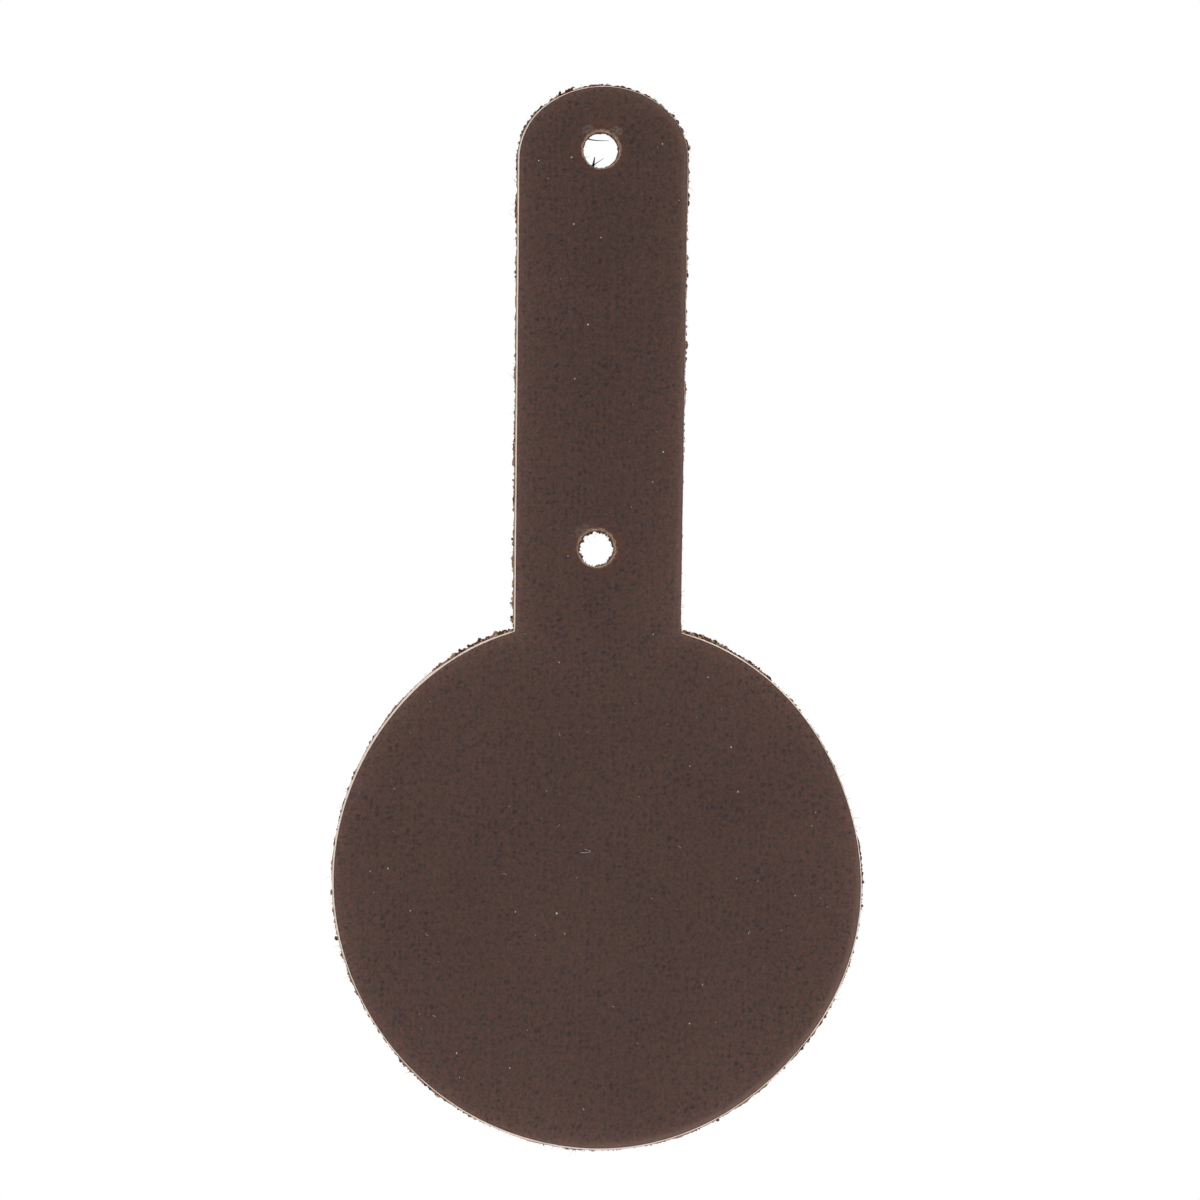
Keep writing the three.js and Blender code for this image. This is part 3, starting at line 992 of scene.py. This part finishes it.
def edge_fibres(line, finish):
    count = 700
    base, way = edge_places(line, count, 90)
    length = (0.25 + 0.55 * rng.uniform(0, 1, count) ** 2.5) * MM
    reach = unit(way + rng.normal(0, 0.5, (count, 3)) * [1, 0.8, 1])
    base = base - way * 0.05 * MM
    base[:, 1] -= rng.uniform(0, 1.1, count) ** 1.5 * MM
    middle = base + reach * length[:, None] * 0.5
    end = base + (reach + rng.normal(0, 0.45, (count, 3))) * length[:, None]
    return hairs("edge_fibres", base, middle, end, rng.uniform(0.018, 0.045, count) * MM,
                 rng.uniform(0, 1, count), finish)


def flesh_nap(blank, finish):
    clear = np.minimum(blank.to_edge, blank.to_hole.min(0)) > 0.3 * MM
    back = np.flatnonzero((blank.depth > 0.99) & clear)
    # Blender numbers the points anew on each run, so the draws below go by place and not by number
    back = back[np.lexsort((blank.x[back], blank.z[back].round(6)))]
    share = np.where(blank.loop[back] < 0, 1.0, 0.12)
    count = 6500
    pick = rng.choice(back, count, p=share / share.sum())
    base = blank.co[pick] + rng.uniform(-0.6, 0.6, (count, 3)) * [MM, 0, MM]
    base[:, 1] -= 0.03 * MM
    lie = np.array([4 * lumps(x, 7, z, 22) + 2 * lumps(x, 1, z, 90) for x, z in base[:, [0, 2]]])
    lie = lie + rng.normal(0, 0.5, count)
    lean = np.stack([np.cos(lie), rng.uniform(0.1, 0.5, count), np.sin(lie)], 1)
    length = rng.uniform(0.5, 1.5, count) * MM
    middle = base + unit(lean) * length[:, None] * 0.5
    end = base + (unit(lean) * [1, 0.45, 1] + rng.normal(0, 0.25, (count, 3)) * [1, 0, 1]) * length[:, None]
    return hairs("flesh_nap", base, middle, end, rng.uniform(0.025, 0.055, count) * MM,
                 rng.uniform(0.15, 0.9, count), finish, joints=1)


def hole_hairs(finish):
    """Loose fibres that the punch left in the end hole: x and z from its centre, and y, in millimetres."""
    strands = np.array([
        [(-3.2, 1.3, 2.25), (-1.9, 1.3, 1.7), (1.15, 1.2, 1.85)],
        [(-1.95, 1.4, -3.7), (-1.75, 1.4, -2.4), (-1.55, 1.25, -1.35)],
        [(-1.75, 1.3, -2.9), (-0.8, 1.3, -2.2), (0.25, 1.2, -1.55)],
    ]) * MM
    widths = np.array([0.16, 0.34, 0.12]) * MM
    shades = np.array([0.12, 0.02, 0.4])
    return hairs("hole_hairs", *strands.transpose(1, 0, 2), widths, shades, finish,
                 sides=6, joints=8, tip=0.25)


def hole_fibres(finish):
    """Short torn fibres round both holes' flesh rims."""
    parts = []
    for k, (z, count) in enumerate(((END_HOLE_Z, 12), (NECK_HOLE_Z, 60))):
        angle = rng.uniform(0, 2 * math.pi, count)
        ring = np.stack([np.cos(angle), np.zeros(count), np.sin(angle)], 1)
        shift_x, shift_z = np.array(HOLE_FLESH_SHIFTS[k]) + HOLE_DRIFTS[k]
        centre = [shift_x, THICKNESS / 2 - 0.25 * MM, shift_z + z]
        base = ring * (HOLE_FLESH_RADII[k] + 0.08 * MM) + centre
        base[:, 1] -= rng.uniform(0, 0.8, count) * MM
        parts.append((base, -ring))
    base, way = (np.concatenate(part) for part in zip(*parts))
    count = len(base)
    length = (0.15 + 0.25 * rng.uniform(0, 1, count) ** 2) * MM
    reach = unit(way + rng.normal(0, 0.5, (count, 3)))
    end = base + (reach + rng.normal(0, 0.3, (count, 3))) * length[:, None]
    return hairs("hole_fibres", base, base + reach * length[:, None] / 2, end,
                 rng.uniform(0.04, 0.09, count) * MM, rng.uniform(0, 0.6, count), finish)


def grain_height(blank):
    """Finds how high the grain surface is at a place."""
    front = np.flatnonzero((blank.depth < 0.01) & (blank.inset > 0.4 * MM))
    tree = nearest_finder([(blank.co[k, 0], 0, blank.co[k, 2]) for k in front])
    return lambda x, z: blank.co[front[tree.find((x, 0, z))[1]], 1]


def dust(blank, finish):
    height = grain_height(blank)
    count = 80
    places = []
    inner = 1.04  # a place still in the outline when it is this much further out is clear of the rim
    while len(places) < count:
        x, z = rng.uniform(-HEAD_RADIUS, HEAD_RADIUS), rng.uniform(HEAD_LOW.z, CROWN_TOP_Z)
        off_rim = in_outline(x * inner, HEAD_Z + (z - HEAD_Z) * inner)
        if off_rim and from_hole(x, z) > HOLE_RIM_RADIUS + 2 * MM:
            places.append((x, height(x, z), z))
    centres = np.array(places)
    size = (0.07 + 0.12 * rng.uniform(0, 1, count) ** 3) * MM
    sizes = np.stack([size, size * 0.5, size * rng.uniform(0.6, 1.4, count)], 1)
    level = np.tile(np.eye(3), (count, 1, 1))
    return crumbs("dust_specks", centres, sizes, level, rng.uniform(0.3, 1, count), finish)


def lint(blank, finish):
    """Short pale hairs on the grain, the first one hooked."""
    height = grain_height(blank)
    count = 10
    angle = rng.uniform(0, math.pi, count)
    x = rng.uniform(-0.7, 0.7, count) * HEAD_RADIUS
    z = HEAD_Z + rng.uniform(-0.6, 0.6, count) * HEAD_RADIUS
    length = rng.uniform(0.4, 0.9, count) * MM
    x[0], z[0], angle[0], length[0] = -3.1 * MM, HEAD_Z + 5.6 * MM, 0, 1.8 * MM
    y = np.array([height(a, b) for a, b in zip(x, z)]) - 0.03 * MM
    start = np.stack([x, y, z], 1)
    way = np.stack([np.cos(angle), np.zeros(count), np.sin(angle)], 1)
    side = np.stack([-way[:, 2], np.zeros(count), way[:, 0]], 1)
    curl = rng.uniform(-0.3, 0.3, count)
    middle = start + way * length[:, None] * 0.6 + side * (curl * length)[:, None]
    end = start + way * length[:, None]
    middle[0] = start[0] + (way[0] * 1.9 + side[0] * 0.02) * length[0]
    end[0] = start[0] + (way[0] * 0.42 + side[0] * 0.38) * length[0]
    return hairs("lint", start, middle, end, np.full(count, 0.04) * MM, rng.uniform(0.5, 1, count), finish,
                 joints=9, tip=0.6)


# ---- The pieces

blank = Blank(finished_mesh("leather", build_blank()))
blank.shape()
blank.lay_out_map()
edge_line = blank.edge_line()
blank.add_finish_marks()
blank.mesh.polygons.foreach_set("use_smooth", [True] * len(blank.mesh.polygons))
leather = new_piece("leather", blank.mesh, grain_finish(), cut_finish(), flesh_finish())

torn = fibre_finish("torn_fibres", srgb(40, 24, 19), srgb(98, 62, 46), srgb(186, 148, 116))
crumb_brown = fibre_finish("edge_crumb", srgb(54, 34, 27), srgb(104, 70, 55), srgb(200, 166, 142))
crumb_dark = fibre_finish("hole_hair", srgb(30, 18, 15), srgb(92, 58, 42), srgb(150, 110, 84))
chip_red = fibre_finish("crown_chip", srgb(64, 28, 22), srgb(122, 54, 40), srgb(150, 78, 58))
napped = fibre_finish("flesh_fibres", srgb(60, 40, 32), srgb(112, 80, 62), srgb(156, 122, 98))
lint_pale = fibre_finish("lint", srgb(150, 140, 132), srgb(200, 196, 190), srgb(240, 236, 230))

pieces = {
    "edge_crumbs": edge_crumbs(edge_line, crumb_brown),
    "edge_fibres": edge_fibres(edge_line, torn),
    "flesh_nap": flesh_nap(blank, napped),
    "dust_specks": dust(blank, lint_pale),
    "lint": lint(blank, lint_pale),
}
on_strap = [hole_hairs(crumb_dark), hole_fibres(torn), crown_chips(chip_red)]

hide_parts("strap", "head")
for piece in (leather, *pieces.values()):
    above, below = (0, 0, NECK_Z + BEND_REACH), (0, 0, NECK_Z - BEND_REACH)
    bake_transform(piece, "strap", "head", start=above, end=below)
for piece in on_strap:
    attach(piece, "strap")
2 * HEAD_RADIUS

# ---- The studio

bm = bmesh.new()
bmesh.ops.create_circle(bm, cap_ends=True, segments=96, radius=FLOOR_RADIUS,
                        matrix=Matrix.Translation((0, 0, HEAD_LOW.z - FLOOR_DROP)))
floor = new_piece("floor", finished_mesh("floor", bm), floor_finish())


def soft_light(name, place, target, size, power):
    lamp = bpy.data.lights.new(name, "AREA")
    lamp.shape = "DISK"
    lamp.size = size
    lamp.energy = power
    stand = bpy.data.objects.new(name, lamp)
    stand.location = place
    stand.rotation_euler = (Vector(target) - Vector(place)).to_track_quat("-Z", "Y").to_euler()
    bpy.context.scene.collection.objects.link(stand)


MIDDLE = (0, 0, CAMERA_Z)
soft_light("key_light", (-0.7, -0.9, 0.7), MIDDLE, 0.6, 4.3)
soft_light("fill_light", (0.9, -0.7, 0.1), MIDDLE, 0.7, 1.9)
soft_light("back_light", (0.3, 0.9, 0.6), MIDDLE, 0.6, 7)

world = bpy.data.worlds.new("studio")
bpy.context.scene.world = world
world.use_nodes = True
studio = Nodes(world.node_tree)
# A bright sweep behind the swatter and a dimmer room in front of it, all white where the camera looks
direction = studio.node("ShaderNodeTexCoord").outputs["Generated"]
facing = studio.node("ShaderNodeSeparateXYZ", None, {0: direction}).outputs["Y"]
room = studio.node("ShaderNodeMapRange", None, {0: facing, 1: -0.15, 2: 0.25, 3: 0.4, 4: 1.1}).outputs[0]
seen = studio.node("ShaderNodeLightPath").outputs["Is Camera Ray"]
glow = studio.node("ShaderNodeMix", {"data_type": "FLOAT"}, {0: seen, 2: room, 3: 1.0}).outputs[0]
background = studio.tree.nodes["Background"]
studio.join((1, 1, 1, 1), background.inputs["Color"])
studio.join(glow, background.inputs["Strength"])

camera = bpy.data.objects.new("camera", bpy.data.cameras.new("camera"))
camera.data.sensor_width = 36
camera.data.lens = camera.data.sensor_width * CAMERA_DISTANCE / VIEW_WIDTH
camera.matrix_world = (
    Matrix.Translation((CAMERA_X, -CAMERA_DISTANCE, CAMERA_Z))
    @ Matrix.Rotation(-CAMERA_LEAN, 4, "Y")
    @ Matrix.Rotation(math.pi / 2, 4, "X")
)
bpy.context.scene.collection.objects.link(camera)
bpy.context.scene.camera = camera
bpy.context.scene.view_settings.view_transform = "Standard"
